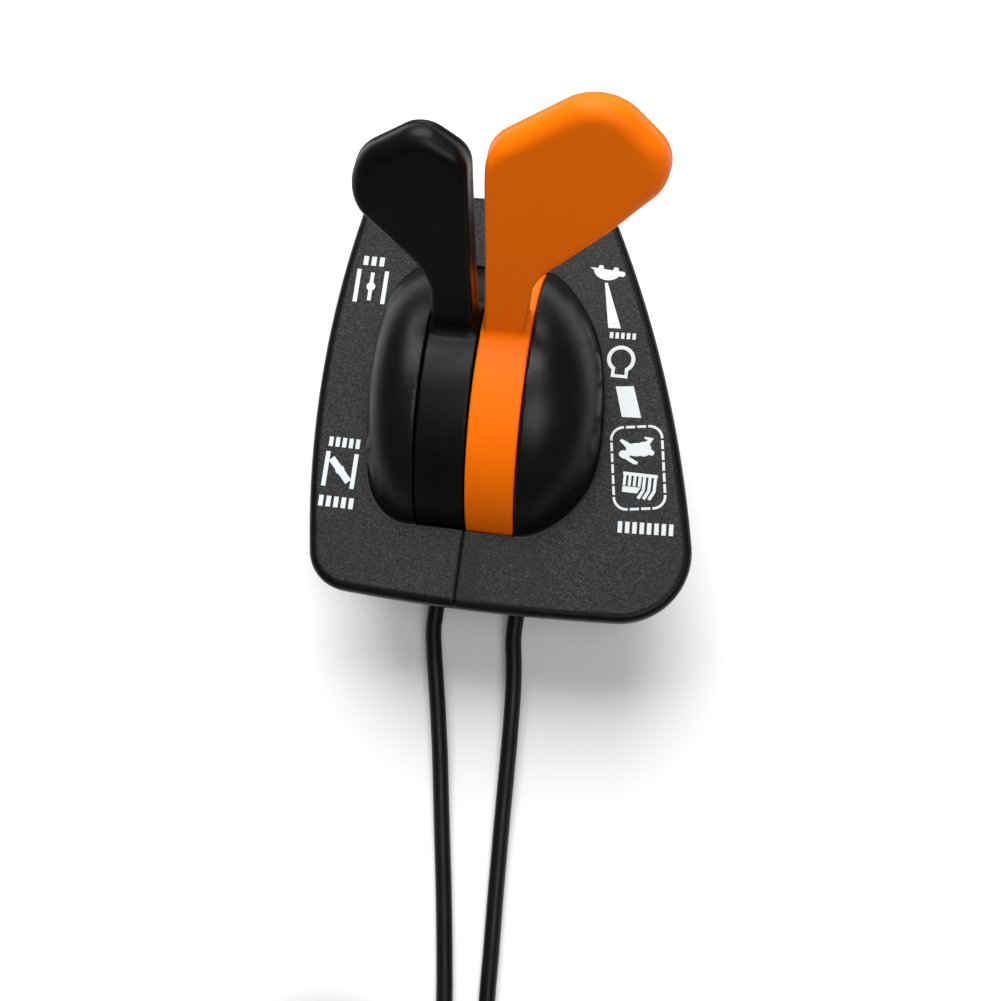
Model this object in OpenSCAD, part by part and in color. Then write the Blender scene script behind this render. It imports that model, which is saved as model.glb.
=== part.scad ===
// Dual-lever throttle and choke control with two push-pull cables.
// The bezel lies level. X runs along the levers' pivot, +Y is the way both
// levers lean at rest, and the cables leave towards -Y. Sizes are in mm.

/* [Bezel] */
// distance from the base to the bezel's top face
bezel_top = 47.3; // [40:0.1:60]
// depth of the bezel's skirt
skirt_depth = 6; // [4:0.5:10]
// thickness of the bezel's skin and of the housing walls
wall = 2.5; // [1.5:0.1:4]
// half length of the bezel along Y
bezel_half_length = 60.65; // [50:0.05:80]
// seam to the left edge of the bezel
bezel_left = 48; // [40:0.5:70]
// radius of the bezel's front right corner
front_right_radius = 20; // [10:1:30]
// radius of the bezel's front left corner
front_left_radius = 12; // [6:1:20]
// radius of the bezel's two rear corners
rear_radius = 9; // [5:1:15]

/* [Drums and housing] */
// height of the pivot above the base
pivot_height = 29; // [27:0.1:40]
// outer radius of the lever drums
drum_radius = 42.2; // [40:0.1:48]
// thickness of a drum's skin
drum_skin = 3; // [2:0.1:5]
// outer face of a drum, from the seam
drum_outer = 13.6; // [12:0.1:18]
// inner face of a drum, from the seam
drum_inner = 0.2; // [0.15:0.05:1]
// gap between a drum and the housing
drum_gap = 0.35; // [0.3:0.05:1]
// width of the left hump outside the drum
left_hump = 17; // [10:0.5:25]
// width of the right hump outside the drum
right_hump = 19.5; // [10:0.5:25]
// radius of the left hump's round shoulder
left_shoulder = 14.5; // [8:0.5:17]
// radius of the right hump's round shoulder
right_shoulder = 19; // [8:0.5:19]

/* [Levers] */
// lean of both levers at rest, from the vertical
lever_lean = 33; // [0:1:45]
// swing of each lever from its rest position
lever_swing = 50; // [30:1:60]
// thickness of a lever from front to back
lever_thickness = 9.5; // [6:0.5:12]
// front face of a lever ahead of the pivot
lever_front = 13.3; // [8:0.1:16]
// radius of the rounded front edges
lever_round = 4; // [1:0.5:5]
// how much thinner a pad gets for each mm along the lever
pad_taper = 0.055; // [0:0.005:0.08]

/* [Pivot] */
// radius of the pivot sleeve
sleeve_radius = 4; // [3:0.1:6]
// radius of the pivot bolt
bolt_radius = 2.5; // [2:0.5:3]
// running clearance of a drum on the sleeve
running_gap = 0.05; // [0.02:0.01:0.1]

/* [Cables] */
// radius of a conduit
conduit_radius = 2.5; // [2:0.1:4]
// radius of the inner wire
wire_radius = 0.8; // [0.5:0.1:1.2]
// height of the wires below the pivot
wire_drop = 22; // [18:0.5:26]
// middle radius of a coil
coil_radius = 27.5; // [25:0.5:50]
// whole turns in a coil
coil_turns = 4; // [2:1:6]
// length of the wire that shows at the far end
far_wire = 40; // [30:1:60]

/* [Mounting] */
// spacing of the panel screws along X
screw_spacing_x = 66; // [60:1:70]
// spacing of the panel screws along Y
screw_spacing_y = 88; // [70:1:90]
// radius of a panel screw's pilot hole
pilot_radius = 1.4; // [1:0.1:2]

/* [Hidden] */
$fn = 64;

black = [0.05, 0.05, 0.06];
charcoal = [0.25, 0.25, 0.26];
orange = [0.9, 0.42, 0.06];
steel = [0.7, 0.72, 0.74];
print_grey = [0.85, 0.87, 0.88];

// the bezel's four bowed edges: centre x, centre y and radius of each
side_bow = 288;
right_bow = 355;
end_bow = 600;
left_edge = [side_bow - bezel_left, 2, side_bow];
right_edge = [-285.6, -101.7, right_bow];
front_edge = [2, end_bow - bezel_half_length, end_bow];
rear_edge = [-5, bezel_half_length - end_bow, end_bow];
edges = [left_edge, front_edge, right_edge, rear_edge];

// the corners, each between one edge and the next
corners = [
    corner(left_edge, front_edge, front_left_radius),
    corner(front_edge, right_edge, front_right_radius),
    corner(right_edge, rear_edge, rear_radius),
    corner(rear_edge, left_edge, rear_radius)
];

// centre of the circle of radius r that touches two edges from inside, with
// the directions from it to where it touches them
function corner(a, b, r) =
    let (pa = [a[0], a[1]], pb = [b[0], b[1]], ra = a[2] - r, rb = b[2] - r)
    let (d = norm(pb - pa), along = (ra * ra - rb * rb + d * d) / (2 * d))
    let (up = sqrt(ra * ra - along * along), u = (pb - pa) / d)
    let (c = pa + along * u + up * [-u[1], u[0]])
    [c, (c - pa) / norm(c - pa), (c - pb) / norm(c - pb), r];

bezel_right = corners[1][0][0] + front_right_radius;
seam_x = (bezel_left - bezel_right) / 2;
bezel_under = bezel_top - skirt_depth;
// how far each step of the rim is drawn in, and how far below the top face it ends
rim_steps = [[0, 3], [0.5, 1.7], [1.4, 0.8], [2.8, 0]];

cavity_radius = drum_radius + 0.5;
side_wall = 3;
body_radius = cavity_radius + side_wall;
// each drum has a friction disc this thick between it and the housing's side wall
disc_thickness = 2.3;
cavity_side = drum_outer + disc_thickness - 0.1;
body_side = cavity_side + side_wall;
// height above the pivot where the cavity narrows to the window in the bezel
shoulder = 12;
window_side = drum_outer + drum_gap;
hump_top = drum_radius + 0.4;
// how many straight pieces each arc of the bezel's outline is drawn with
arc_steps = 10;
mark_height = 0.15;
washer_height = 1;
bolt_head = 3.2;
nut_height = 4;

window_angle = 67;
drum_from = 90 - window_angle - lever_swing;
drum_to = 90 + window_angle;
boss_radius = 8;
disc_radius = 9;
web_choke = [-8.8, -6.3];
web_throttle = [9, 11.5];
arm_rest = -lever_swing / 2;
pin_reach = wire_drop / cos(arm_rest);
pin_y = wire_drop * tan(arm_rest);
arm_tip = pin_reach + 2.6;

choke_wire_x = -11;
throttle_wire_x = 14.3;
wire_height = pivot_height - wire_drop;
wire_length = 51.9;
bore_radius = wire_radius + 0.08;
relief_inner = -39.6;
relief_outer = -63.5;
collar_from = -46.5;
collar_to = -44;
block_end = -49.5;

screw_places = [[48.4, 34], [47.1, 17]];
screw_pad_length = 6;

// routes of the conduits from the strain reliefs to their coils, from the seam
choke_route = [[-11, -63.5, 7], [-11, -64.5, 7], [-10.7, -67.5, 7], [-10, -71.5, 6.9],
    [-9, -76.5, 6.7], [-7.8, -82.5, 6.3], [-6.5, -89, 5.8], [-5.2, -96, 5.2], [-3.8, -104, 4.4],
    [-2.2, -114, 3.6], [-0.6, -124, 3], [1.1, -134, 2.7], [2.8, -144, 2.5], [4.4, -154, 2.5],
    [5.9, -164, 2.5], [7.3, -174, 2.5], [8.3, -184, 2.5], [8.8, -193, 2.6], [9, -200, 2.8],
    [9, -206, 3.1], [9, -211, 3.3]];
throttle_route = [[14.3, -63.5, 7], [14.3, -64.5, 7], [14.6, -67.5, 7], [15.3, -72, 6.9],
    [16, -77.5, 6.7], [16.5, -84, 6.2], [16.9, -92, 5.5], [17.2, -101, 4.6], [17.5, -111, 3.8],
    [17.8, -121, 3.2], [18.2, -131, 2.8], [18.6, -141, 2.5], [19.1, -151, 2.5],
    [19.6, -161, 2.5], [20, -171, 2.5], [20.6, -181, 2.5], [21.3, -191, 2.6],
    [21.8, -199, 2.8], [22, -205.5, 3.1], [22, -211, 3.3]];

// the right coil mirrors the left one about half this distance from the seam
mirror_sum = 31;

// tails of the conduits, from the tops of the coils to the end sleeves
choke_tail = [[9, -211, 23.3], [9, -217, 23.3], [9, -225, 22.5], [9, -233, 19.8],
    [9, -241, 14.7], [9, -249, 9.2], [9, -257, 5], [9, -264, 3.3], [9, -271, 3]];
throttle_tail = [for (p = choke_tail) [mirror_sum - p[0], p[1], p[2]]];

choke_end_x = 9;
throttle_end_x = mirror_sum - choke_end_x;
coil_y = -211;
coil_base = 0.8;
choke_coil_x = choke_end_x - coil_radius;
throttle_coil_x = throttle_end_x + coil_radius;
coil_height = (coil_turns + 1) * 2 * conduit_radius;
tie_width = 6;
tie_thickness = 0.8;
tube_sides = 8;

end_y = -271;
end_height = 3;
end_sleeve_length = 28;
end_sleeve_radius = 3;
end_wire_inside = 6;
bend_rise = 6;
// the clip groove after the bend, and the free pin beyond it
neck_radius = 0.5;
neck_length = 1.2;
pin_length = 4.8;

// outlines of the levers' pads: centre x, distance from the pivot, radius
choke_pad = [[-19.4, 81, 11.6], [-13.3, 88.6, 8], [-9, 86.9, 7], [-6.1, 60, 4], [-8.8, 59, 4]];
choke_stalk = [[-6.1, 61, 4], [-8.8, 60.5, 4], [-8.9, 41, 4], [-5.5, 41, 4]];
throttle_pad = [[34.6, 90.6, 10.4], [27.3, 93.3, 13.4], [12, 87.8, 10], [5.8, 61.5, 4],
    [10.6, 60.3, 4]];
throttle_stalk = [[5.8, 63, 4], [10.3, 63, 4], [7.8, 41, 4], [5.2, 41, 4]];

// ---- helpers ----

// moves a child from the seam and pivot's own axes into the part's frame
module place() {
    translate([seam_x, 0, 0]) children();
}

// stands a child's Z axis along X, with its X along Y, at the pivot
module about_pivot(from_x = 0) {
    translate([from_x, 0, pivot_height]) rotate([90, 0, 90]) children();
}

// a ring about the pivot between two places along X
module ring(from_x, to_x, outer, inner) {
    about_pivot(from_x) difference() {
        cylinder(h = to_x - from_x, r = outer);
        translate([0, 0, -1]) cylinder(h = to_x - from_x + 2, r = inner);
    }
}

// a wedge about the origin between two angles, as wide as reach
module wedge(from_a, to_a, reach) {
    steps = ceil((to_a - from_a) / 40);
    polygon(concat([[0, 0]], arc_points([0, 0], reach, from_a, to_a, steps)));
}

// points along an arc from one angle to another, both ends included
function arc_points(centre, radius, from_a, to_a, steps) =
    [for (i = [0:steps]) let (a = from_a + (to_a - from_a) * i / steps)
        [centre[0], centre[1]] + radius * [cos(a), sin(a)]];

// the angle of a direction, counted on past a first one
function angle_of(d, after = 0) =
    let (a = atan2(d[1], d[0])) a + 360 * ceil((after - a) / 360);

// the bezel's outline, drawn in by inset, as one arc for each corner and edge
function bezel_outline(inset) = [for (k = [0:3])
    let (c = corners[k], next = corners[(k + 1) % 4], e = edges[(k + 1) % 4])
    let (from_a = angle_of(c[1]), mid_a = angle_of(c[2], from_a), to_a = angle_of(next[1], mid_a))
    each concat(arc_points(c[0], c[3] - inset, from_a, mid_a, arc_steps),
        arc_points(e, e[2] - inset, mid_a, to_a, arc_steps))];

// one layer of the bezel, drawn in all round by inset
module bezel_layer(inset, height) {
    linear_extrude(height) polygon(bezel_outline(inset));
}

// the solid bezel with its rim stepped round
module bezel_solid() {
    for (step = rim_steps) translate([0, 0, bezel_under]) bezel_layer(step[0], skirt_depth - step[1]);
}

// half of space on one side of the seam
module half_space(side) {
    translate([side < 0 ? -100 : 0, -100, -1]) cube([100, 200, 130]);
}

// a round-shouldered cover beside a drum: a revolved profile about the pivot
module hump(side, width) {
    radius = min(width - 0.2, side < 0 ? left_shoulder : right_shoulder);
    about_pivot(side * window_side) mirror([0, 0, side < 0 ? 1 : 0]) rotate_extrude() {
        square([hump_top - radius, width]);
        square([hump_top, width - radius]);
        translate([hump_top - radius, width - radius]) intersection() {
            circle(r = radius);
            square(radius);
        }
    }
}

// the outside of one housing half under the bezel
module body_outer(side) {
    from_x = side < 0 ? -body_side : 0;
    intersection() {
        about_pivot(from_x) cylinder(h = body_side, r = body_radius);
        translate([from_x, -60, 0]) cube([body_side, 120, bezel_top - 1]);
    }
}

// the space that the drum turns in
module cavity(side) {
    from_x = side < 0 ? -window_side : -1;
    wide_x = side < 0 ? -cavity_side : -1;
    intersection() {
        union() {
            about_pivot(from_x) cylinder(h = window_side + 1, r = cavity_radius);
            intersection() {
                about_pivot(wide_x) cylinder(h = cavity_side + 1, r = cavity_radius);
                translate([-40, -60, 0]) cube([80, 120, pivot_height + shoulder]);
            }
        }
        translate([-40, -60, wall]) cube([80, 120, 100]);
    }
}

// the block that holds a cable's strain relief
module cable_block(x) {
    translate([x - 5.5, block_end, 0]) cube([11, 14, wire_height + 5.5]);
}

// the bore and collar groove of a strain relief, open below so that it snaps in
module cable_bore(x) {
    mouth = 2 * conduit_radius - 0.4;
    translate([x, 0, wire_height]) rotate([90, 0, 0]) {
        translate([0, 0, 30]) cylinder(h = 30, r = conduit_radius + 0.05);
        translate([0, 0, -collar_to - 0.05]) cylinder(h = collar_to - collar_from + 0.1, r = 4.05);
    }
    translate([x - mouth / 2, -60, -1]) cube([mouth, 25, wire_height + 1]);
    translate([x - 4.05, collar_from - 0.05, -1])
        cube([8.1, collar_to - collar_from + 0.1, wire_height + 1]);
}

// one housing half with its part of the bezel; side is -1 for left and 1 for right,
// and web is where its lever's arm swings
module housing(side, hump_width, cable_x, web) {
    difference() {
        union() {
            intersection() {
                bezel_solid();
                half_space(side);
            }
            intersection() {
                hump(side, hump_width);
                translate([-100, -100, bezel_top - wall]) cube([200, 200, 60]);
            }
            body_outer(side);
            cable_block(cable_x);
            for (end = [-1, 1], p = screw_places) screw_pad(side, [end * p[0], p[1]]);
        }
        difference() {
            translate([0, 0, bezel_under - 1]) bezel_layer(wall, skirt_depth - wall + 1);
            body_keep();
            for (y = [-1, 1]) panel_boss(side, y);
        }
        intersection() {
            hump_hollow(side, hump_width);
            translate([-100, -100, bezel_top - wall - 1]) cube([200, 200, 60]);
        }
        cavity(side);
        about_pivot(web[0] - 1) cylinder(h = web[1] - web[0] + 2, r = arm_tip + 0.5);
        cable_bore(cable_x);
        about_pivot(-40) cylinder(h = 80, r = bolt_radius + 0.05);
        for (end = [-1, 1], p = screw_places) screw_hole([end * p[0], p[1]]);
        for (y = [-1, 1]) panel_hole(side, y);
    }
}

// what stays solid inside the skirt around the body
module body_keep() {
    about_pivot(-body_side) cylinder(h = 2 * body_side, r = body_radius);
}

// the hollow inside a hump, outside the housing's side wall
module hump_hollow(side, width) {
    intersection() {
        translate([-side * wall, 0, 0]) hump(side, width - 0.6);
        about_pivot(-100) cylinder(h = 200, r = hump_top - wall);
        translate([side < 0 ? -100 : body_side, -100, 0]) cube([100 - body_side, 200, 150]);
    }
}

// a boss under the bezel for one panel screw
module panel_boss(side, y) {
    translate([side * screw_spacing_x / 2, y * screw_spacing_y / 2, bezel_under])
        cylinder(h = skirt_depth, r = 3.6);
}

// the blind pilot hole in a panel boss
module panel_hole(side, y) {
    translate([side * screw_spacing_x / 2, y * screw_spacing_y / 2, bezel_under - 1])
        cylinder(h = skirt_depth - wall / 2, r = pilot_radius);
}

// thickening around one screw that holds the halves together
module screw_pad(side, p) {
    from_x = side < 0 ? -screw_pad_length : 0;
    translate([from_x, p[0], p[1]]) rotate([0, 90, 0]) cylinder(h = screw_pad_length, r = 4);
}

// a hole for one screw across the seam
module screw_hole(p) {
    translate([-20, p[0], p[1]]) rotate([0, 90, 0]) cylinder(h = 40, r = 1.45);
}

// a drum on its boss, with the arm that its wire hooks on
module drum(side, web) {
    from_x = side < 0 ? -drum_outer : drum_inner;
    boss_x = side < 0 ? -drum_outer + 0.4 : 1.2;
    difference() {
        union() {
            about_pivot(from_x) linear_extrude(drum_outer - drum_inner) difference() {
                intersection() {
                    circle(r = drum_radius);
                    wedge(drum_from, drum_to, 60);
                }
                circle(r = drum_radius - drum_skin);
            }
            about_pivot(web[0]) linear_extrude(web[1] - web[0]) intersection() {
                circle(r = drum_radius - drum_skin / 2);
                wedge(drum_from, drum_to, 60);
            }
            about_pivot(boss_x) cylinder(h = drum_outer - 1.6, r = boss_radius);
            drum_arm(web);
        }
        about_pivot(-50) cylinder(h = 100, r = sleeve_radius + running_gap);
    }
}

// the arm below a drum, slotted for the wire's hook
module drum_arm(web) {
    slot_radius = wire_radius + 0.4;
    about_pivot(web[0]) rotate([0, 0, -90 + arm_rest]) difference() {
        union() {
            translate([0, -4, 0]) cube([arm_tip - 3.5, 8, web[1] - web[0]]);
            translate([arm_tip - 4, 0, 0]) cylinder(h = web[1] - web[0], r = 4);
        }
        translate([0, 0, -1]) {
            translate([wire_drop - 0.4, -slot_radius, 0])
                cube([pin_reach - wire_drop + 0.6, 2 * slot_radius, web[1] - web[0] + 2]);
            for (x = [wire_drop - 0.4, pin_reach + 0.2]) translate([x, 0, 0])
                cylinder(h = web[1] - web[0] + 2, r = slot_radius);
        }
    }
}

// a lever's own axes: Z runs up along the lever from the pivot, -Y is its front
module lever_axes() {
    translate([0, 0, pivot_height]) rotate([-lever_lean, 0, 0]) children();
}

// one rounded corner post of a pad: a disc with a round front edge
module pad_post(p) {
    inner = p[2] - lever_round;
    depth = lever_thickness - pad_taper * max(p[1] - 60, 0);
    rear = 0.8;
    translate([p[0], -lever_front + depth, p[1]]) rotate([90, 0, 0]) rotate_extrude($fn = 32)
        polygon(concat([[0, 0], [p[2] - rear, 0], [p[2], rear]],
            [for (a = [0:18:90]) [max(inner, 0) + min(lever_round, p[2]) * cos(a),
                depth - lever_round + lever_round * sin(a)]], [[0, depth]]));
}

// a lever's pad or stalk, rounded over a set of corner posts
module lever_pad(posts) {
    lever_axes() hull() for (p = posts) pad_post(p);
}

// a wire's straight run with its hook through the drum's arm
module hooked_wire(wire_x, hook_to) {
    translate([wire_x, pin_y, wire_height]) {
        rotate([90, 0, 0]) cylinder(h = wire_length, r = wire_radius);
        sphere(r = wire_radius);
        rotate([0, hook_to > wire_x ? 90 : -90, 0])
            cylinder(h = abs(hook_to - wire_x), r = wire_radius);
    }
}

// the sleeve with a collar that leads a wire out of the housing
module strain_relief(x) {
    translate([x, 0, wire_height]) rotate([90, 0, 0]) difference() {
        union() {
            translate([0, 0, -relief_inner])
                cylinder(h = relief_inner - relief_outer, r = conduit_radius);
            translate([0, 0, -collar_to]) cylinder(h = collar_to - collar_from, r = 4);
        }
        translate([0, 0, -relief_inner - 1])
            cylinder(h = relief_inner - relief_outer + 2, r = bore_radius);
    }
}

// a tube swept along a list of points
module tube(points) {
    count = len(points);
    rings = [for (i = [0:count - 1])
        let (ahead = points[min(i + 1, count - 1)] - points[max(i - 1, 0)])
        let (along = ahead / norm(ahead), across = cross(along, [0, 0, 1]))
        let (u = across / norm(across), v = cross(u, along))
        for (k = [0:tube_sides - 1]) points[i]
            + conduit_radius * cos(k * 360 / tube_sides + 22.5) * u
            + conduit_radius * sin(k * 360 / tube_sides + 22.5) * v];
    sides = [for (i = [0:count - 2], k = [0:tube_sides - 1])
        let (next = (k + 1) % tube_sides, a = i * tube_sides, b = a + tube_sides)
        [a + k, a + next, b + next, b + k]];
    last = (count - 1) * tube_sides;
    polyhedron(rings, concat(sides, [[for (k = [tube_sides - 1:-1:0]) k]],
        [[for (k = [0:tube_sides - 1]) last + k]]));
}

// the outer shape of a coil lying on the surface
module coil(centre_x) {
    translate([centre_x, coil_y, coil_base]) rotate_extrude()
        translate([coil_radius - conduit_radius, 0]) square([2 * conduit_radius, coil_height]);
}

// a strap around one side of a coil
module coil_tie(x) {
    outer = 2 * conduit_radius + 2 * tie_thickness;
    translate([x, coil_y, 0]) difference() {
        translate([-outer / 2, -tie_width / 2, 0])
            cube([outer, tie_width, coil_height + 2 * tie_thickness]);
        translate([-conduit_radius - 0.2, -tie_width, tie_thickness])
            cube([2 * conduit_radius + 0.4, 2 * tie_width, coil_height]);
    }
}

// the metal end sleeve of a conduit
module end_sleeve(x) {
    translate([x, end_y, end_height]) rotate([90, 0, 0]) difference() {
        union() {
            cylinder(h = end_sleeve_length, r = end_sleeve_radius - 0.4);
            cylinder(h = 8, r = end_sleeve_radius);
        }
        translate([0, 0, -1]) cylinder(h = end_sleeve_length + 2, r = bore_radius);
    }
}

// the wire that stands out of an end sleeve, with a Z bend at its tip
module end_wire(x) {
    start = end_y - end_sleeve_length + end_wire_inside;
    tip = start - far_wire;
    translate([x, start, end_height]) rotate([90, 0, 0]) cylinder(h = far_wire, r = wire_radius);
    translate([x, tip, end_height]) {
        sphere(r = wire_radius);
        cylinder(h = bend_rise, r = wire_radius);
    }
    translate([x, tip, end_height + bend_rise]) {
        sphere(r = wire_radius);
        rotate([90, 0, 0]) {
            cylinder(h = neck_length, r = neck_radius);
            translate([0, 0, neck_length]) cylinder(h = pin_length, r = wire_radius);
        }
    }
}

// a printed bar with its centre, size and turn
module bar(x, y, length, height, turn = 0) {
    translate([x, y]) rotate(turn) square([length, height], center = true);
}

// a row of plain blocks in place of a word
module blocks(x, y, length, height, count, turn = 0) {
    translate([x, y]) rotate(turn)
        for (i = [0:count - 1])
            bar((i - (count - 1) / 2) * length / count, 0, 0.6 * length / count, height);
}

// a valve flap between two walls, turned by an angle
module valve_mark(x, y, flap_width, turn) {
    for (dx = [-4.15, 4.15]) bar(x + dx, y, 1.25, 10.1);
    bar(x, y, flap_width, 8.6, turn);
    translate([x, y]) circle(r = 1.3);
}

// ---- sub-parts ----

module left_housing() {
    color(charcoal) place() housing(-1, left_hump, choke_wire_x, web_choke);
}

module right_housing() {
    color(charcoal) place() housing(1, right_hump, throttle_wire_x, web_throttle);
}

module housing_screws() {
    color(steel) place() for (side = [-1, 1], p = screw_places)
        translate([-screw_pad_length, side * p[0], p[1]]) rotate([0, 90, 0]) {
            translate([0, 0, -2]) cylinder(h = 2, r = 2.8);
            cylinder(h = 2 * screw_pad_length, r = 1.4);
        }
}

module left_marks() {
    color(print_grey) place() translate([0, 0, bezel_top]) linear_extrude(mark_height) {
        blocks(-37.4, 37.2, 7.2, 2.8, 3);
        valve_mark(-37.2, 29.4, 1.1, 0);
        blocks(-37.6, -17.9, 9.8, 2.8, 5);
        valve_mark(-37.7, -25.9, 2, 43);
        blocks(-37.4, -35.2, 11, 3.1, 5);
    }
}

module right_marks() {
    color(print_grey) place() translate([0, 0, bezel_top]) linear_extrude(mark_height) {
        slow_mark(31, 40.4);
        polygon([[30.7, 37.2], [31.5, 37.2], [36.8, 24], [33.2, 23.8]]);
        blocks(37.6, 21.9, 8, 1.8, 5, 2);
        engine_mark(37.9, 15);
        polygon([[37.3, 6.9], [42.3, 7.5], [45.4, -1.4], [40, -1.7]]);
        dashed_frame(46.1, -15.6, 14.8, 24, 9);
        fast_mark(45, -10.6);
        blade_mark(46.8, -20.6);
        blocks(50, -32.4, 16, 3.2, 8, 3);
    }
}

// a tortoise seen upside down for slow running: a domed shell, a head, a tail and two feet
module slow_mark(x, y) {
    translate([x, y]) rotate(-4) {
        intersection() {
            translate([0, 0.9]) scale([1.22, 1]) circle(r = 3.3);
            translate([-4.2, -2.6]) square([8.4, 3.4]);
        }
        polygon([[3.4, -0.6], [4.7, -0.7], [5.3, -0.1], [5, 0.7], [4, 0.9], [3.4, 0.8]]);
        polygon([[-3.8, 0.1], [-5.1, 0.7], [-3.6, 0.8]]);
        for (dx = [-2.9, 1.4]) polygon([[dx, 0.6], [dx + 0.4, 1.8], [dx + 1.5, 1.8], [dx + 1.9, 0.6]]);
    }
}

// a ring on a short neck for the engine
module engine_mark(x, y) {
    translate([x, y]) {
        difference() {
            circle(r = 4);
            circle(r = 2.9);
            translate([-1.4, -5]) square([2.8, 4]);
        }
        for (dx = [-1.9, 1.9]) translate([dx, -4]) square([0.9, 2], center = true);
        translate([0, -5]) square([4.7, 0.9], center = true);
    }
}

// a rectangle with round corners
module round_box(width, height, corner) {
    offset(r = corner) square([width - 2 * corner, height - 2 * corner], center = true);
}

// a dashed frame with round corners
module dashed_frame(x, y, width, height, turn) {
    translate([x, y]) rotate(turn) difference() {
        round_box(width, height, 3.8);
        round_box(width - 1.4, height - 1.4, 3.1);
        for (side = [-1, 1], i = [-2.5:2.5]) bar(side * width / 2, i * 3.1, 3, 0.6);
        for (side = [-1, 1], i = [-1:1]) bar(i * 3.1, side * height / 2, 0.6, 3);
    }
}

// a hare seen upside down for fast running
module fast_mark(x, y) {
    translate([x, y]) rotate(188) {
        scale([1.5, 1]) circle(r = 1.9);
        translate([-2.1, -0.1]) circle(r = 2.1);
        translate([3.3, 1.3]) rotate(-20) scale([1.35, 1]) circle(r = 1.15);
        polygon([[2.4, 1.7], [-0.4, 3.6], [-0.2, 4.2], [0.9, 4.1], [3.5, 2.3]]);
        polygon([[-3.4, -0.8], [-5, -3.1], [-2.6, -3.6], [-2.3, -3.1], [-3.4, -2.7], [-1.4, -1.4]]);
        polygon([[1, -1.4], [3.9, -3.2], [4.5, -2.7], [2.3, -0.1]]);
        translate([-4.2, 1]) circle(r = 0.8);
    }
}

// a comb of teeth and three bent slats for the cutting blades
module blade_mark(x, y) {
    translate([x, y]) {
        bar(0.2, 3, 9.6, 0.9);
        for (i = [0:3]) bar(-4 + i * 1.4, 1.2, 0.8, 3.2);
        polygon([[-4.4, -0.6], [-4.4, -2.3], [-0.2, -2.3], [0.6, -0.6]]);
        for (i = [0:2]) translate([1 + i * 1.5, 0])
            polygon([[0, 2.8], [0.85, 2.8], [0.85, -1.4], [-0.4, -3.9], [-1.2, -3.5], [0, -1.2]]);
    }
}

module choke_lever() {
    color(black) place() {
        drum(-1, web_choke);
        lever_pad(choke_pad);
        lever_pad(choke_stalk);
    }
}

module throttle_lever() {
    color(orange) place() {
        drum(1, web_throttle);
        lever_pad(throttle_pad);
        lever_pad(throttle_stalk);
    }
}

module pivot_sleeve() {
    color(steel) place() ring(-cavity_side, cavity_side, sleeve_radius, bolt_radius + 0.05);
}

module pivot_bolt() {
    color(steel) place() {
        about_pivot(-body_side - washer_height) cylinder(h = 2 * body_side + 8, r = bolt_radius);
        about_pivot(-body_side - washer_height - bolt_head) cylinder(h = bolt_head, r = 4.4);
    }
}

module pivot_washers() {
    color(steel) place() for (x = [-body_side - washer_height, body_side])
        ring(x, x + washer_height, 5.2, bolt_radius + 0.05);
}

module pivot_nut() {
    color(steel) place() difference() {
        about_pivot(body_side + washer_height) cylinder(h = nut_height, r = 4.5, $fn = 6);
        about_pivot(0) cylinder(h = 60, r = bolt_radius + 0.05);
    }
}

module centre_washer() {
    color(steel) place() ring(-0.9, 0.9, boss_radius, sleeve_radius + running_gap);
}

module choke_friction_disc() {
    color(black) place()
        ring(-cavity_side, disc_thickness - cavity_side, disc_radius, sleeve_radius + running_gap);
}

module throttle_friction_disc() {
    color(black) place()
        ring(cavity_side - disc_thickness, cavity_side, disc_radius, sleeve_radius + running_gap);
}

module choke_wire() {
    color(steel) place() hooked_wire(choke_wire_x, web_choke[1] + 1);
}

module throttle_wire() {
    color(steel) place() hooked_wire(throttle_wire_x, web_throttle[0] - 1);
}

module choke_strain_relief() {
    color(black) place() strain_relief(choke_wire_x);
}

module throttle_strain_relief() {
    color(black) place() strain_relief(throttle_wire_x);
}

module choke_conduit() {
    color(black) place() {
        tube(choke_route);
        tube(choke_tail);
    }
}

module throttle_conduit() {
    color(black) place() {
        tube(throttle_route);
        tube(throttle_tail);
    }
}

module choke_coil() {
    color(black) place() coil(choke_coil_x);
}

module throttle_coil() {
    color(black) place() coil(throttle_coil_x);
}

module choke_coil_tie() {
    color(black) place() coil_tie(choke_coil_x - coil_radius);
}

module throttle_coil_tie() {
    color(black) place() coil_tie(throttle_coil_x + coil_radius);
}

module choke_end_sleeve() {
    color(steel) place() end_sleeve(choke_end_x);
}

module throttle_end_sleeve() {
    color(steel) place() end_sleeve(throttle_end_x);
}

module choke_end_wire() {
    color(steel) place() end_wire(choke_end_x);
}

module throttle_end_wire() {
    color(steel) place() end_wire(throttle_end_x);
}

left_housing();
right_housing();
housing_screws();
left_marks();
right_marks();
choke_lever();
throttle_lever();
pivot_sleeve();
pivot_bolt();
pivot_washers();
pivot_nut();
centre_washer();
choke_friction_disc();
throttle_friction_disc();
choke_wire();
throttle_wire();
choke_strain_relief();
throttle_strain_relief();
choke_conduit();
throttle_conduit();
choke_coil();
throttle_coil();
choke_coil_tie();
throttle_coil_tie();
choke_end_sleeve();
throttle_end_sleeve();
choke_end_wire();
throttle_end_wire();
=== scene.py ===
"""Dual-lever throttle and choke control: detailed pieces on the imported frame.

Sizes are in millimetres, as in the part's source, and MM turns them into metres.
"Local" points count x from the housing's seam, y from the pivot and z from the base.
"""
import math

import bmesh
import bpy
import numpy as np
import openvdb
from mathutils import Matrix, Vector


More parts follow.
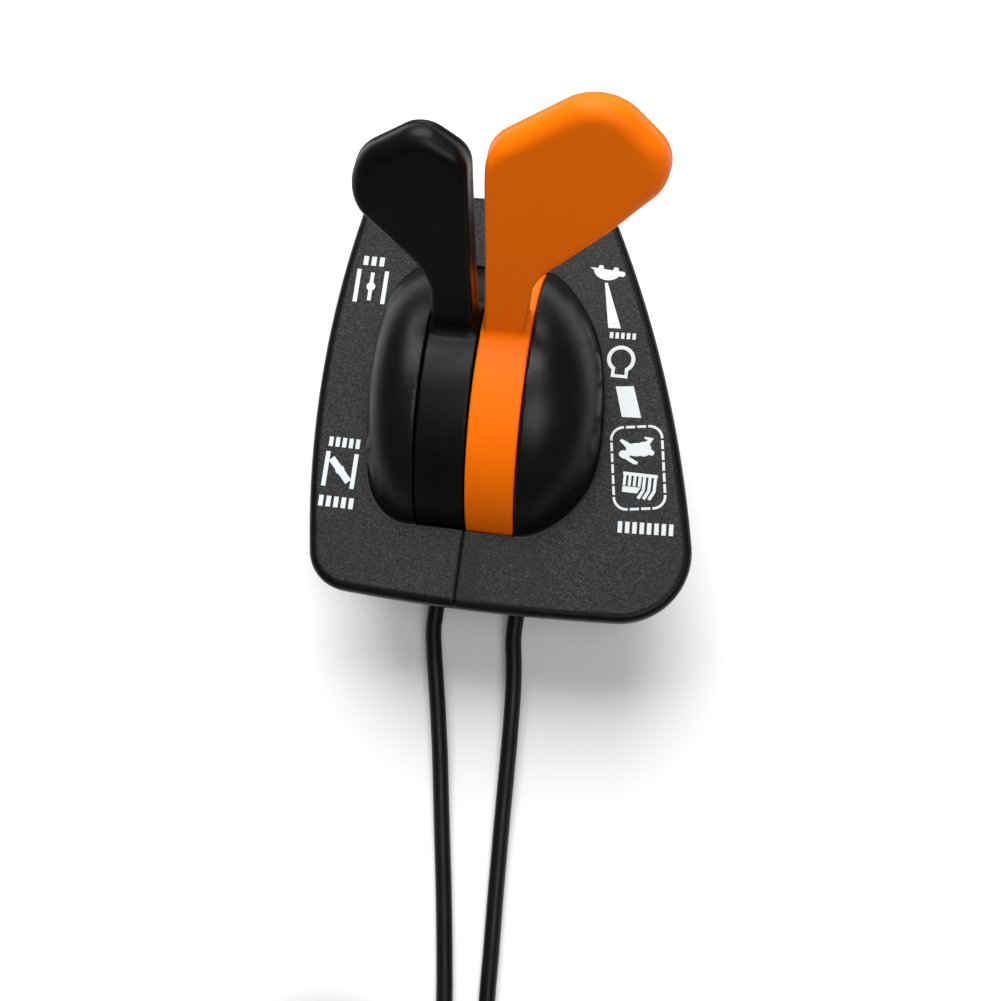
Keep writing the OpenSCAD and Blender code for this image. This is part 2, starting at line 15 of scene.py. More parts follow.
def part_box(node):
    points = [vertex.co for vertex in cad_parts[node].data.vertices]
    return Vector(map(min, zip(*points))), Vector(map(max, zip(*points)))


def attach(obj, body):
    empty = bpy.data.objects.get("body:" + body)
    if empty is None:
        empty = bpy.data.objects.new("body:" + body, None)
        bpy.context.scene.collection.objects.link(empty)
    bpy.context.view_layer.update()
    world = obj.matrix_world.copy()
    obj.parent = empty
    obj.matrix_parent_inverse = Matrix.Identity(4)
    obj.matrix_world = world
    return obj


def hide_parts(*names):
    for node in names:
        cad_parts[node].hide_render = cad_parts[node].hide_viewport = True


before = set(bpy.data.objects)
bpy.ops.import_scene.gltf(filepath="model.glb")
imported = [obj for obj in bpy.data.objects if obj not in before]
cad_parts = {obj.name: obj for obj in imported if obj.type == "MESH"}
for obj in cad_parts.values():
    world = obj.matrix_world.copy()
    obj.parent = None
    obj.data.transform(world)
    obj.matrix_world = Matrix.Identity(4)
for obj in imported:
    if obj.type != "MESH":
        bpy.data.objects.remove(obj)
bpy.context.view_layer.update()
MM = 0.001

# ---- the driving sizes, read from the frame where a node gives them ----

SEAM_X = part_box("left_housing")[1].x / MM
BEZEL_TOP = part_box("left_marks")[0].z / MM
PIVOT_Z = 29.0
SKIRT_DEPTH = 6.0
BEZEL_UNDER = BEZEL_TOP - SKIRT_DEPTH
WALL = 2.5
RIM_ROUND = 2.4
PANEL_SCREW_X = 33.0
PANEL_SCREW_Y = 44.0
PANEL_BOSS_RADIUS = 3.6
PANEL_PILOT_RADIUS = 1.4
DRUM_RADIUS = 42.2
DRUM_OUTER = 13.72
DRUM_INNER = 0.2
DRUM_SKIN = 3.0
WINDOW_SIDE = 13.9
CAVITY_RADIUS = 42.65
BODY_RADIUS = 45.7
CAVITY_SIDE = 15.8
BODY_SIDE = 18.8
SHOULDER_Z = PIVOT_Z + 12
TROUGH_RADIUS = 27.4
TROUGH_WIDTH = 4.5
BOLT_BORE = 2.55
HUMP_TOP = 42.6
LEFT_HUMP = 17.0
LEFT_HUMP_CORNER = 14.5
RIGHT_HUMP = 19.5
LEVER_LEAN = math.radians(33)
LEVER_FRONT = 13.3
LEVER_BACK = 3.8
LEVER_ROUND = 4.5
STALK_ROUND = 1.4
PAD_TAPER = 0.055
PARTING_LINE = 7.4
PARTING_STEP = 0.25
BOSS_RADIUS = 8.0
ARM_REACH = 22.0
ARM_HALF_WIDTH = 4.0
SLOT_HALF_WIDTH = 1.2
DRUM_FROM = math.radians(-27)
DRUM_TO = math.radians(157)
ARM_REST = math.radians(-115)
BORE = 4.05
WIRE_Z = 7.0
CHOKE_WIRE_X = -11.0
THROTTLE_WIRE_X = 14.3
CONDUIT_RADIUS = 2.5
CONDUIT_BORE = 2.55
COLLAR_BORE = 4.05
COLLAR_FROM = -46.55
COLLAR_TO = -43.95
COIL_RADIUS = 27.5
COIL_TURNS = 4
COIL_Y = -211.0
COIL_LOW = 3.3
SCREW_PLACES = ((48.4, 34.0), (47.1, 17.0))

# the bezel's bowed edges, each a circle of centre x, centre y and radius, and its
# corners, each with its centre and radius, in order round the outline
EDGES = ((240, 2, 288), (2, 539.35, 600), (-285.6, -101.7, 355), (-5, -539.35, 600))
CORNERS = ((-31.49, -47.70, 12), (43.51, -39.16, 20), (24.93, 50.89, 9), (-34.68, 50.90, 9))

# the pads' and stalks' corner circles: x, distance up the lever from the pivot, radius
CHOKE_PAD = ((-19.4, 81, 11.6), (-13.3, 88.6, 8), (-9, 86.9, 7), (-6.1, 60, 4), (-8.8, 59, 4))
CHOKE_STALK = ((-6.1, 61, 4), (-8.8, 60.5, 4), (-8.9, 41, 4), (-5.5, 41, 4))
THROTTLE_PAD = (
    (34.6, 90.6, 10.4), (27.3, 93.3, 13.4), (12, 87.8, 10), (5.8, 61.5, 4), (10.6, 60.3, 4),
)
THROTTLE_STALK = ((5.8, 63, 4), (10.3, 63, 4), (7.8, 41, 4), (5.2, 41, 4))


def place(x, y, z):
    """A local point in millimetres as a point of the frame in metres."""
    return Vector(((x + SEAM_X) * MM, y * MM, z * MM))


# ---- camera ----

CAMERA_TURN = math.radians(6.45)
CAMERA_TILT = math.radians(9.0)
CAMERA_ROLL = math.radians(7.67)
CAMERA_DISTANCE = 300.0
CAMERA_TARGET = (9.15, -29.28, BEZEL_TOP)
CAMERA_LENS = 38.52


def make_camera():
    """A camera over the bezel, a little to the right and towards the cables."""
    back = Vector((
        math.sin(CAMERA_TURN) * math.cos(CAMERA_TILT),
        -math.sin(CAMERA_TILT),
        math.cos(CAMERA_TURN) * math.cos(CAMERA_TILT),
    ))
    up = (Vector((0, 1, 0)) - back * back.y).normalized()
    right = up.cross(back)
    top = up * math.cos(CAMERA_ROLL) - right * math.sin(CAMERA_ROLL)
    side = right * math.cos(CAMERA_ROLL) + up * math.sin(CAMERA_ROLL)
    data = bpy.data.cameras.new("camera")
    data.lens = CAMERA_LENS
    data.sensor_width = 36
    data.clip_start = 0.01
    data.clip_end = 20
    camera = link("camera", data)
    turn = Matrix((side, top, back)).transposed().to_4x4()
    target = place(*CAMERA_TARGET)
    camera.matrix_world = Matrix.Translation(target + back * CAMERA_DISTANCE * MM) @ turn
    bpy.context.scene.camera = camera


def link(name, data):
    """A new object with this data, in the scene."""
    made = bpy.data.objects.new(name, data)
    bpy.context.scene.collection.objects.link(made)
    return made


# ---- materials ----


class Nodes:
    """A small helper that builds one material's node tree."""

    def __init__(self, name, **settings):
        self.material = bpy.data.materials.new(name)
        self.material.use_nodes = True
        self.tree = self.material.node_tree
        self.shader = self.tree.nodes["Principled BSDF"]
        for socket, value in settings.items():
            self.shader.inputs[socket.replace("_", " ")].default_value = value
        self.place = self.tree.nodes.new("ShaderNodeTexCoord").outputs["Object"]

    def put(self, socket, value):
        """Links an output to a socket, or sets the socket to a plain value."""
        if hasattr(value, "is_linked"):
            self.tree.links.new(value, socket)
        else:
            socket.default_value = value

    def node(self, kind, values=None, **attributes):
        made = self.tree.nodes.new(kind)
        for key, value in attributes.items():
            setattr(made, key, value)
        for key, value in (values or {}).items():
            self.put(made.inputs[key], value)
        return made

    def link(self, output, socket):
        self.tree.links.new(output, self.shader.inputs[socket])

    def noise(self, scale, detail=4, roughness=0.6, vector=None):
        values = {"Scale": scale, "Detail": detail, "Roughness": roughness}
        values["Vector"] = vector or self.place
        return self.node("ShaderNodeTexNoise", values).outputs["Fac"]

    def ramp(self, value, stops):
        made = self.node("ShaderNodeValToRGB", {"Fac": value})
        elements = made.color_ramp.elements
        while len(elements) < len(stops):
            elements.new(0.5)
        for element, (position, colour) in zip(elements, stops):
            element.position = position
            element.color = (*colour, 1)
        return made.outputs["Color"]

    def maths(self, operation, a, b):
        return self.node("ShaderNodeMath", {0: a, 1: b}, operation=operation).outputs[0]

    def remap(self, value, low, high, to_low, to_high):
        values = {
            "Value": value, "From Min": low, "From Max": high, "To Min": to_low, "To Max": to_high
        }
        return self.node("ShaderNodeMapRange", values).outputs["Result"]

    def mix(self, factor, a, b):
        made = self.node("ShaderNodeMix", data_type="RGBA")
        for key, value in ((0, factor), (6, a), (7, b)):
            self.put(made.inputs[key], value)
        return made.outputs[2]

    def blend(self, factor, a, b):
        made = self.node("ShaderNodeMix", data_type="FLOAT")
        for key, value in ((0, factor), (2, a), (3, b)):
            self.put(made.inputs[key], value)
        return made.outputs[0]

    def bump(self, height, distance, strength):
        values = {"Height": height, "Distance": distance, "Strength": strength}
        return self.node("ShaderNodeBump", values).outputs["Normal"]


def shade(colour, factor):
    """A colour made darker or lighter by a factor."""
    return tuple(factor * c for c in colour)


def grained_plastic():
    """Spark-eroded charcoal on the bezel's flat top, glossy black on humps and rim."""
    made = Nodes("textured_plastic", Specular_IOR_Level=0.2)
    tint = (0.0215, 0.0215, 0.0225)
    grain = made.noise(1700, 3, 0.7)
    pits = made.noise(950, 2, 0.5)
    cloud = made.noise(35, 3, 0.5)
    inside = made.node("ShaderNodeAttribute", attribute_name="grain").outputs["Fac"]
    across = made.node("ShaderNodeSeparateXYZ", {0: made.place}).outputs[0]
    aside = made.maths("ABSOLUTE", made.maths("SUBTRACT", across, (SEAM_X + 2) * MM), 0)
    strip = made.remap(aside, 0.0025, 0.0045, 0.3, 1)
    mask = made.maths("MULTIPLY", made.remap(inside, 0, 1, 0, 1), strip)
    dark = made.ramp(made.noise(60, 3), [
        (0.3, (0.0022, 0.0022, 0.0025)), (0.7, (0.004, 0.004, 0.0044)),
    ])
    flecks = made.ramp(grain, [
        (0.36, shade(tint, 0.4)), (0.52, tint), (0.68, shade(tint, 2.6)),
    ])
    dull = made.mix(made.remap(cloud, 0.3, 0.7, 0, 0.4), flecks, (*shade(tint, 0.6), 1))
    made.link(made.mix(mask, dark, dull), "Base Color")
    smooth = made.remap(made.noise(90, 4), 0.3, 0.7, 0.3, 0.4)
    rough = made.remap(pits, 0.3, 0.7, 0.45, 0.62)
    made.link(made.blend(mask, smooth, rough), "Roughness")
    height = made.maths("MULTIPLY", made.maths("ADD", grain, pits), mask)
    faint = made.maths("MULTIPLY", made.noise(260, 3), 0.04)
    made.link(made.bump(made.maths("ADD", height, faint), 0.0003, 0.9), "Normal")
    return made.material


def moulded_plastic(name, colour, deep, roughness, shine):
    """Smooth satin injection-moulded plastic with faint flow marks and handling wear."""
    made = Nodes(name, Specular_IOR_Level=shine)
    flow = made.noise(28, 4, 0.55)
    made.link(made.ramp(flow, [(0.3, deep), (0.7, colour)]), "Base Color")
    low, high = roughness
    made.link(made.remap(made.noise(140, 5), 0.3, 0.7, low, high), "Roughness")
    fine = made.maths("MULTIPLY", made.noise(1800, 3), 0.12)
    wave = made.maths("MULTIPLY", made.noise(70, 2), 0.5)
    made.link(made.bump(made.maths("ADD", fine, wave), 0.0001, 0.5), "Normal")
    return made.material


def ink():
    """Pad-printed light grey ink, thin in places."""
    made = Nodes("print")
    worn = made.noise(900, 4, 0.6)
    made.link(made.ramp(worn, [(0.28, (0.52, 0.55, 0.57)), (0.4, (0.62, 0.655, 0.675))]), "Base Color")
    made.link(made.remap(made.noise(700, 2), 0.3, 0.7, 0.5, 0.7), "Roughness")
    made.link(made.bump(made.noise(1500, 2), 0.0001, 0.6), "Normal")
    return made.material


def metal(name, colour, roughness, stretch):
    """Bright metal with fine drawing or turning lines along one direction."""
    made = Nodes(name, Metallic=1.0)
    scaled = made.node("ShaderNodeVectorMath", {0: made.place, 1: stretch}, operation="MULTIPLY")
    lines = made.noise(60, 3, 0.6, scaled.outputs[0])
    patchy = made.noise(220, 4)
    made.link(made.ramp(patchy, [(0.35, shade(colour, 0.72)), (0.6, colour)]), "Base Color")
    low, high = roughness
    made.link(made.remap(lines, 0.3, 0.7, low, high), "Roughness")
    made.link(made.bump(lines, 0.00005, 0.5), "Normal")
    return made.material


# ---- solids as signed distances on a grid, which gives true fillets ----


class Grid:
    """Points of a regular grid over a box, in local millimetres."""

    def __init__(self, low, high, step):
        self.step = step
        self.low = np.array(low, dtype=np.float32) - 2 * step
        count = np.ceil((np.array(high) + 2 * step - self.low) / step).astype(int) + 1
        axes = [self.low[i] + step * np.arange(count[i], dtype=np.float32) for i in range(3)]
        self.x, self.y, self.z = np.meshgrid(*axes, indexing="ij", sparse=True)
        self.shape = tuple(count)

    def mesh(self, name, distance, adaptivity=0.0):
        """The surface where the distance is nought, as a smooth mesh object."""
        band = 4 * self.step
        field = np.broadcast_to(distance, self.shape).astype(np.float32)
        grid = openvdb.FloatGrid(band)
        grid.copyFromArray(np.clip(field, -band, band))
        points, triangles, quads = grid.convertToPolygons(isovalue=0.0, adaptivity=adaptivity)
        points = (points * self.step + self.low + np.array([SEAM_X, 0, 0])) * MM
        data = bpy.data.meshes.new(name)
        data.from_pydata(points.tolist(), [], quads.tolist() + triangles.tolist())
        data.validate()
        normals_out(data)
        data.shade_smooth()
        return link(name, data)


def normals_out(data):
    """Turns a closed mesh's faces outwards."""
    work = bmesh.new()
    work.from_mesh(data)
    if work.calc_volume(signed=True) < 0:
        bmesh.ops.reverse_faces(work, faces=work.faces)
    work.to_mesh(data)
    work.free()


def both(a, b, r=0.0):
    """What two shapes share, with a rounded edge of radius r."""
    if np.isscalar(r) and r == 0:
        return np.maximum(a, b)
    return np.minimum(-r, np.maximum(a, b)) + np.hypot(np.maximum(a + r, 0), np.maximum(b + r, 0))


def either(a, b, r=0.0):
    """Two shapes joined, with a fillet of radius r."""
    if r == 0:
        return np.minimum(a, b)
    return np.maximum(r, np.minimum(a, b)) - np.hypot(np.maximum(r - a, 0), np.maximum(r - b, 0))


def slab(value, low, high):
    """The space between two planes across one axis."""
    return np.maximum(low - value, value - high)


def block(u, v, low_u, high_u, low_v, high_v):
    """A rectangle across two axes."""
    return np.maximum(slab(u, low_u, high_u), slab(v, low_v, high_v))


def rounded_polygon(u, v, circles):
    """The convex outline stretched round circles (centre u, centre v, radius)."""
    turning = sum(
        a[0] * b[1] - b[0] * a[1] for a, b in zip(circles, circles[1:] + circles[:1])
    )
    ring = circles if turning > 0 else circles[::-1]
    normals = []
    inside = None
    for (au, av, ar), (bu, bv, br) in zip(ring, ring[1:] + ring[:1]):
        du, dv = bu - au, bv - av
        length = math.hypot(du, dv)
        du, dv = du / length, dv / length
        lean = (ar - br) / length
        level = math.sqrt(1 - lean * lean)
        nu, nv = level * dv + lean * du, -level * du + lean * dv
        normals.append((nu, nv))
        edge = (u - au) * nu + (v - av) * nv - ar
        inside = edge if inside is None else np.maximum(inside, edge)
    result = inside
    for i, (cu, cv, r) in enumerate(ring):
        au, av = normals[i - 1]
        bu, bv = normals[i]
        du, dv = u - cu, v - cv
        beside = (au * dv - av * du >= 0) & (du * bv - dv * bu >= 0)
        result = np.where(beside, np.maximum(result, np.hypot(du, dv) - r), result)
    return result


def bezel_outline(x, y):
    """The bezel's outline: four bowed edges with a round corner between each two."""
    result = None
    for cx, cy, r in EDGES:
        edge = np.hypot(x - cx, y - cy) - r
        result = edge if result is None else np.maximum(result, edge)
    for i, (cx, cy, r) in enumerate(CORNERS):
        ax, ay = cx - EDGES[i][0], cy - EDGES[i][1]
        bx, by = cx - EDGES[(i + 1) % 4][0], cy - EDGES[(i + 1) % 4][1]
        dx, dy = x - cx, y - cy
        beside = (ax * dy - ay * dx >= 0) & (dx * by - dy * bx >= 0)
        result = np.where(beside, np.maximum(result, np.hypot(dx, dy) - r), result)
    return result


def hump_shape(x, y, z, side):
    """The round-shouldered cover beside a drum, a little fuller towards the cables."""
    if side < 0:
        width, corner = LEFT_HUMP, LEFT_HUMP_CORNER
        fullness = np.clip(0.965 + 0.0018 * y, 0.87, 1.0)
    else:
        width = corner = RIGHT_HUMP
        fullness = 1.07 - 0.00024 * (y + 9) ** 2
    u = (side * x - WINDOW_SIDE) / fullness
    out = np.hypot(y, z - PIVOT_Z)
    return both(both(u - width, out - HUMP_TOP, corner), -u, 0.2)


def housing_shape(x, y, z, side):
    """One half of the housing with its part of the bezel."""
    s = side * x
    out = np.hypot(y, z - PIVOT_Z)
    outline = bezel_outline(x, y)
    plate = both(both(outline, z - BEZEL_TOP, RIM_ROUND), BEZEL_UNDER - z, 0.5)
    body = both(out - BODY_RADIUS, s - BODY_SIDE, 1.0)
    body = both(both(body, -z, 1.0), z - (BEZEL_TOP - 1))
    hump = both(hump_shape(x, y, z, side), BEZEL_TOP - WALL - z)
    hollow = both(outline + WALL, z - (BEZEL_TOP - WALL), 0.8)
    hollow = np.maximum(hollow, -both(out - BODY_RADIUS, s - BODY_SIDE))
    for end in (-1, 1):
        from_screw = np.hypot(s - PANEL_SCREW_X, y - PANEL_SCREW_Y * end)
        hollow = np.maximum(hollow, PANEL_BOSS_RADIUS - from_screw)
    under = both(hump_shape(x + side * WALL, y, z, side) + 0.6, out - (HUMP_TOP - WALL))
    under = np.maximum(np.maximum(under, BODY_SIDE - s), BEZEL_TOP - WALL - 1 - z)
    shell = either(both(plate, -hollow, 0.3), hump, 0.8)
    shell = np.maximum(shell, -under)
    cable_x = CHOKE_WIRE_X if side < 0 else THROTTLE_WIRE_X
    cable_block = block(x, y, cable_x - 5.5, cable_x + 5.5, -49.5, -35.5)
    cable_block = both(cable_block, slab(z, 0, 12.5), 0.6)
    solid = either(shell, either(body, cable_block, 0.8), 0.8)
    for end in (-1, 1):
        for py, pz in SCREW_PLACES:
            pad = both(np.hypot(y - end * py, z - pz) - 4, s - 6, 0.5)
            solid = either(solid, pad, 0.6)
    narrow = both(out - CAVITY_RADIUS, s - WINDOW_SIDE)
    wide = both(both(out - CAVITY_RADIUS, s - CAVITY_SIDE), z - SHOULDER_Z, 0.3)
    cavity = both(either(narrow, wide), WALL - z)
    web_low = 5.3 if side < 0 else 8.0
    trough = both(out - TROUGH_RADIUS, slab(s, web_low, web_low + TROUGH_WIDTH))
    cavity = either(cavity, trough)
    solid = both(solid, -cavity, 0.25)
    from_cable = np.hypot(x - cable_x, z - WIRE_Z)
    bore = np.maximum(from_cable - CONDUIT_BORE, y + 30)
    collar = both(from_cable - COLLAR_BORE, slab(y, COLLAR_FROM, COLLAR_TO))
    mouth = both(block(x, z, cable_x - 2.3, cable_x + 2.3, -2, WIRE_Z), y + 35)
    groove = block(x, z, cable_x - COLLAR_BORE, cable_x + COLLAR_BORE, -2, WIRE_Z)
    groove = both(groove, slab(y, COLLAR_FROM, COLLAR_TO))
    for cut in (bore, collar, mouth, groove, out - BOLT_BORE):
        solid = both(solid, -cut)
    for end in (-1, 1):
        for py, pz in SCREW_PLACES:
            solid = both(solid, 1.45 - np.hypot(y - end * py, z - pz))
        from_screw = np.hypot(s - PANEL_SCREW_X, y - PANEL_SCREW_Y * end)
        pilot = both(from_screw - PANEL_PILOT_RADIUS, z - (BEZEL_TOP - WALL / 2))
        solid = both(solid, -pilot)
    return both(solid, -s, 0.12)


def smooth_step(value, low, high):
    """0 below low, 1 above high, and smooth between."""
    t = np.clip((value - low) / (high - low), 0, 1)
    return t * t * (3 - 2 * t)


def reach(value, *stops):
    """A limit that runs straight between (place, limit) stops."""
    return np.interp(value, [s[0] for s in stops], [s[1] for s in stops]).astype(np.float32)


def lever_shape(x, y, z, side):
    """One lever: a pad and stalk with a rounded front, on its drum with boss, web and arm."""
    up = y * math.sin(LEVER_LEAN) + (z - PIVOT_Z) * math.cos(LEVER_LEAN)
    ahead = y * math.cos(LEVER_LEAN) - (z - PIVOT_Z) * math.sin(LEVER_LEAN)
    s = side * x
    out = np.hypot(y, z - PIVOT_Z)
    pad, stalk = (CHOKE_PAD, CHOKE_STALK) if side < 0 else (THROTTLE_PAD, THROTTLE_STALK)
    outline = either(rounded_polygon(x, up, pad), rounded_polygon(x, up, stalk), 3.5)
    if side < 0:
        near = reach(up, (41, 1.5), (60, 2.1), (86, 2.0))
    else:
        near = reach(up, (41, 1.2), (61.5, 1.8), (88, 2.0))
    outline = np.maximum(outline, near - s)
    edge = STALK_ROUND + (LEVER_ROUND - STALK_ROUND) * smooth_step(up + 0.35 * s, 84, 100)
    front = both(outline, -LEVER_FRONT - ahead, edge)
    lip = both(outline - PARTING_STEP, -PARTING_LINE - ahead, PARTING_STEP)
    back = ahead + LEVER_BACK + PAD_TAPER * np.maximum(up - 60, 0)
    paddle = both(either(front, lip), back, 0.9)
    paddle = np.maximum(paddle, DRUM_RADIUS - 2.6 - out)
    angle = np.arctan2(z - PIVOT_Z, y)
    angle = np.where(angle < -math.pi / 2, angle + 2 * math.pi, angle)
    sector = out * np.sin(np.maximum(DRUM_FROM - angle, angle - DRUM_TO).clip(-1.5, 1.5))
    band = both(out - DRUM_RADIUS, slab(s, DRUM_INNER, DRUM_OUTER), 0.3)
    band = both(both(band, DRUM_RADIUS - DRUM_SKIN - out, 0.4), sector, 0.4)
    joined = either(paddle, band, 2.2)
    trimmed = np.maximum(joined, slab(s, DRUM_INNER, DRUM_OUTER))
    joined = np.where(out < HUMP_TOP + 0.9, trimmed, joined)
    web_low, web_high = (6.3, 8.8) if side < 0 else (9.0, 11.5)
    web = both(both(out - (DRUM_RADIUS - 1.5), sector), slab(s, web_low, web_high), 0.3)
    boss = both(out - BOSS_RADIUS, slab(s, 1.2, 13.2), 0.5)
    along = y * math.cos(ARM_REST) + (z - PIVOT_Z) * math.sin(ARM_REST)
    across = (z - PIVOT_Z) * math.cos(ARM_REST) - y * math.sin(ARM_REST)
    pin = ARM_REACH / math.cos(math.radians(25))
    arm = np.hypot(along - np.clip(along, 0, pin - 1.4), across) - ARM_HALF_WIDTH
    slot_along = np.clip(along, ARM_REACH - 0.4, pin + 0.2)
    slot = np.hypot(along - slot_along, across) - SLOT_HALF_WIDTH
    arm = both(both(arm, -slot), slab(s, web_low, web_high), 0.3)
    inner = either(either(web, boss, 1.0), arm, 1.0)
    return both(either(joined, inner, 1.0), BORE - out, 0.2)


# ---- building the pieces ----


def local_points(piece):
    """A mesh's points in local millimetres."""
    flat = np.empty(3 * len(piece.data.vertices), dtype=np.float32)
    piece.data.vertices.foreach_get("co", flat)
    points = flat.reshape(-1, 3) / MM
    points[:, 0] -= SEAM_X
    return points.T


def grain_mask(piece, side):
    """Stores how far each point lies inside the grained area, in widths of its soft edge."""
    x, y, z = local_points(piece)
    from_rim = (-bezel_outline(x, y) - 2.0) / 0.8
    from_hump = (hump_shape(x, y, z, side) - 0.5) / 0.6
    inside = np.clip(np.minimum(from_rim, from_hump), -30, 30)
    attribute = piece.data.attributes.new("grain", "FLOAT", "POINT")
    attribute.data.foreach_set("value", inside.astype(np.float32))


def node_grid(node, step):
    """A grid over a CAD node's box."""
    low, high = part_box(node)
    return Grid(
        (low.x / MM - SEAM_X, low.y / MM, low.z / MM),
        (high.x / MM - SEAM_X, high.y / MM, high.z / MM),
        step,
    )


def make_housing(side, node, step):
    """Builds one housing half on its grid."""
    grid = node_grid(node, step)
    shape = housing_shape(grid.x, grid.y, grid.z, side)
    piece = grid.mesh(node.replace("housing", "shell"), shape, 0.004)
    grain_mask(piece, side)
    return piece


def make_lever(side, node, step):
    """Builds one lever on its grid."""
    grid = node_grid(node, step)
    return grid.mesh(node.replace("lever", "handle"), lever_shape(grid.x, grid.y, grid.z, side))


# ---- cables ----

CHOKE_ROUTE = (
    (-11, -63.5, 7), (-11, -64.5, 7), (-10.7, -67.5, 7), (-10, -71.5, 6.9), (-9, -76.5, 6.7),
    (-7.8, -82.5, 6.3), (-6.5, -89, 5.8), (-5.2, -96, 5.2), (-3.8, -104, 4.4),
    (-2.2, -114, 3.6), (-0.6, -124, 3), (1.1, -134, 2.7), (2.8, -144, 2.5), (4.4, -154, 2.5),
    (5.9, -164, 2.5), (7.3, -174, 2.5), (8.3, -184, 2.5), (8.8, -193, 2.6), (9, -200, 2.8),
    (9, -206, 3.1),
)
THROTTLE_ROUTE = (
    (14.3, -63.5, 7), (14.3, -64.5, 7), (14.6, -67.5, 7), (15.3, -72, 6.9), (16, -77.5, 6.7),
    (16.5, -84, 6.2), (16.9, -92, 5.5), (17.2, -101, 4.6), (17.5, -111, 3.8),
    (17.8, -121, 3.2), (18.2, -131, 2.8), (18.6, -141, 2.5), (19.1, -151, 2.5),
    (19.6, -161, 2.5), (20, -171, 2.5), (20.6, -181, 2.5), (21.3, -191, 2.6),
    (21.8, -199, 2.8), (22, -205.5, 3.1),
)
CHOKE_TAIL = (
    (9, -217, 23.3), (9, -225, 22.5), (9, -233, 19.8), (9, -241, 14.7), (9, -249, 9.2),
    (9, -257, 5), (9, -264, 3.3), (9, -271, 3),
)
COIL_EDGE_X = 9
MIRROR_SUM = 31
POINTS_PER_TURN = 24
# the jacket is drawn a little thin, so that it stays clear of its neighbours
JACKET_SCALE = 0.995


def cable_points(side):
    """A conduit's whole line: route, coil and tail, in local millimetres."""
    turns = []
    for i in range(COIL_TURNS * POINTS_PER_TURN + 1):
        angle = 2 * math.pi * i / POINTS_PER_TURN
        x = COIL_EDGE_X - COIL_RADIUS + COIL_RADIUS * math.cos(angle)
        y = COIL_Y - COIL_RADIUS * math.sin(angle)
        height = COIL_LOW + 2 * CONDUIT_RADIUS * i / POINTS_PER_TURN
        turns.append((x if side < 0 else MIRROR_SUM - x, y, height))
    route = CHOKE_ROUTE if side < 0 else THROTTLE_ROUTE
    tail = [p if side < 0 else (MIRROR_SUM - p[0], p[1], p[2]) for p in CHOKE_TAIL]
    return [*route, *turns, *tail]


def make_cable(side):
    """A conduit as one smooth round curve."""
    end = "choke" if side < 0 else "throttle"
    points = [place(*p) for p in cable_points(side)]
    data = bpy.data.curves.new(end + "_cable", "CURVE")
    data.dimensions = "3D"
    data.resolution_u = 4
    data.bevel_depth = JACKET_SCALE
    data.bevel_resolution = 6
    data.use_fill_caps = True
    spline = data.splines.new("BEZIER")
    spline.bezier_points.add(len(points) - 1)
    for knot, point in zip(spline.bezier_points, points):
        knot.co = point
        knot.radius = CONDUIT_RADIUS * MM
        knot.handle_left_type = "AUTO"
        knot.handle_right_type = "AUTO"
    piece = link(end + "_cable", data)
    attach(piece, "housing")
    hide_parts(end + "_conduit", end + "_coil")
    return piece


def bevel(piece, width):
    """Rounds a CAD node's sharp edges a little."""
    made = piece.modifiers.new("edges", "BEVEL")
    made.width = width * MM
    made.segments = 2
    made.limit_method = "ANGLE"
    made.angle_limit = math.radians(40)


def paint(piece, material):
    """Gives a piece one material."""
    piece.data.materials.clear()
    piece.data.materials.append(material)


# ---- the scene ----

bpy.context.scene.view_settings.view_transform = "Standard"
make_camera()
conduit = moulded_plastic(
    "conduit_jacket", (0.006, 0.006, 0.0065), (0.003, 0.003, 0.0035), (0.34, 0.5), 0.2
)
for side in (-1, 1):
    paint(make_cable(side), conduit)

step = 0.45
shell_material = grained_plastic()
black = moulded_plastic(
    "black_lever", (0.0022, 0.0022, 0.0026), (0.0014, 0.0014, 0.0017), (0.34, 0.46), 0.15
)
orange = moulded_plastic(
    "orange_lever", (0.92, 0.165, 0), (0.89, 0.153, 0), (0.38, 0.5), 0.1
)
zinc = metal("zinc", (0.62, 0.63, 0.64), (0.25, 0.45), (1, 6, 6))
wire = metal("spring_wire", (0.5, 0.51, 0.52), (0.25, 0.4), (1, 1, 1))
crimp = metal("crimp_sleeve", (0.66, 0.67, 0.68), (0.3, 0.5), (1, 8, 8))
tie = moulded_plastic("tie_nylon", (0.012, 0.012, 0.012), (0.008, 0.008, 0.008), (0.3, 0.45), 0.4)
disc = moulded_plastic(
    "friction_disc", (0.04, 0.04, 0.04), (0.025, 0.025, 0.025), (0.5, 0.65), 0.5
)
print_ink = ink()

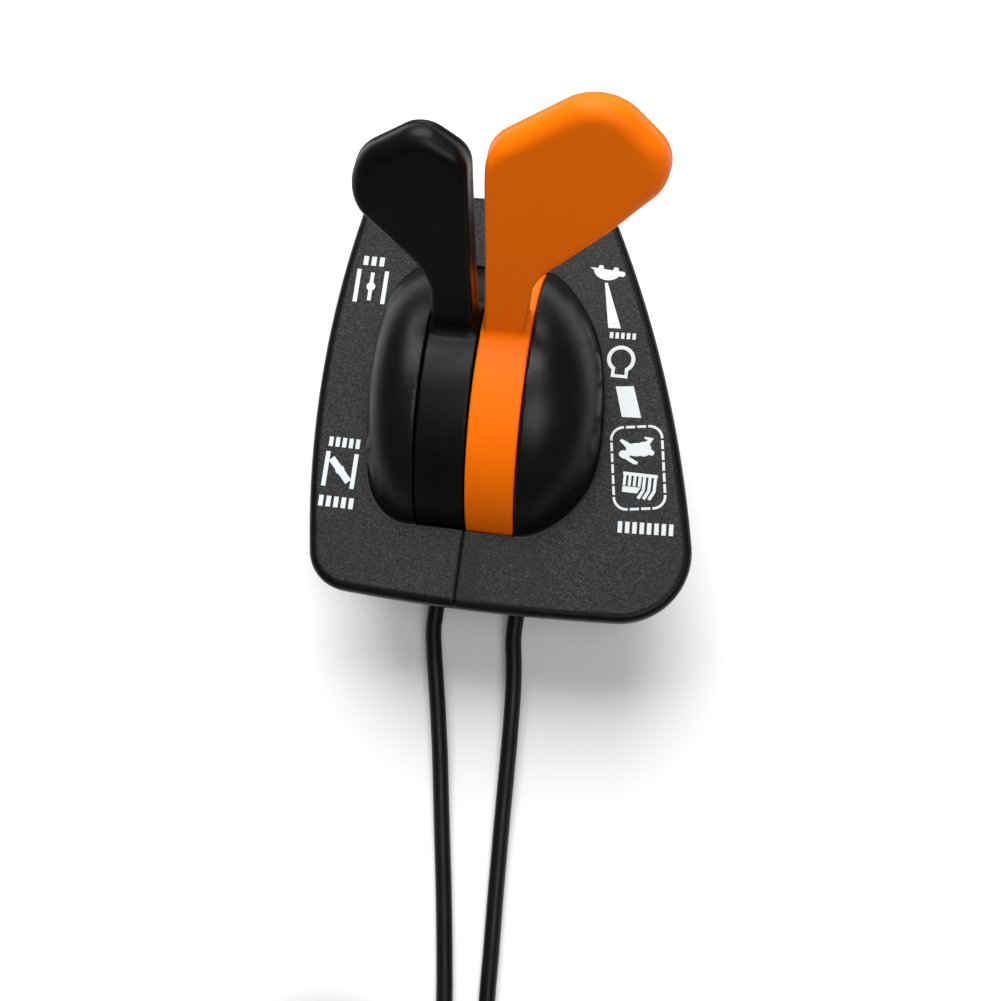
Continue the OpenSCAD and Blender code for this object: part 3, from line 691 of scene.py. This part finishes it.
for side, node in ((-1, "left_housing"), (1, "right_housing")):
    shell = make_housing(side, node, step)
    paint(shell, shell_material)
    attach(shell, "housing")
    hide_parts(node)

for side, node, material, slot in (
    (-1, "choke_lever", black, "black_plastic"),
    (1, "throttle_lever", orange, "orange_plastic"),
):
    handle = make_lever(side, node, step)
    paint(handle, material)
    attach(handle, node)
    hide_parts(node)

FINISHES = (
    (zinc, 0.25, ("housing_screws", "pivot_sleeve", "pivot_bolt", "pivot_washers", "pivot_nut",
                  "centre_washer")),
    (disc, 0.2, ("choke_friction_disc", "throttle_friction_disc")),
    (wire, 0.1, ("choke_wire", "throttle_wire", "choke_end_wire", "throttle_end_wire")),
    (crimp, 0.2, ("choke_end_sleeve", "throttle_end_sleeve")),
    (tie, 0.25, ("choke_coil_tie", "throttle_coil_tie")),
    (conduit, 0.4, ("choke_strain_relief", "throttle_strain_relief")),
    (print_ink, 0.0, ("left_marks", "right_marks")),
)
for material, width, names in FINISHES:
    for name in names:
        paint(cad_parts[name], material)
        if width:
            bevel(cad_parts[name], width)


def make_stage():
    """A pale floor and soft studio light from above."""
    corners = [(-3, -3, 0), (3, -3, 0), (3, 3, 0), (-3, 3, 0)]
    data = bpy.data.meshes.new("floor")
    data.from_pydata(corners, [], [(0, 1, 2, 3)])
    floor = link("floor", data)
    made = Nodes("floor", Roughness=0.9)
    made.shader.inputs["Base Color"].default_value = (0.9, 0.9, 0.9, 1)
    paint(floor, made.material)
    world = bpy.data.worlds.new("studio")
    bpy.context.scene.world = world
    world.use_nodes = True
    world.node_tree.nodes["Background"].inputs["Color"].default_value = (1, 1, 1, 1)
    world.node_tree.nodes["Background"].inputs["Strength"].default_value = 0.14
    for name, where, size, power in (
        ("key", (-0.1, 0.55, 0.75), 0.7, 12.5),
        ("fill", (0.25, -0.2, 1.0), 0.5, 4.0),
    ):
        data = bpy.data.lights.new(name, "AREA")
        data.size = size
        data.energy = power
        lamp = link(name, data)
        lamp.location = where
        lamp.rotation_euler = (-Vector(where)).to_track_quat("-Z", "Y").to_euler()


make_stage()
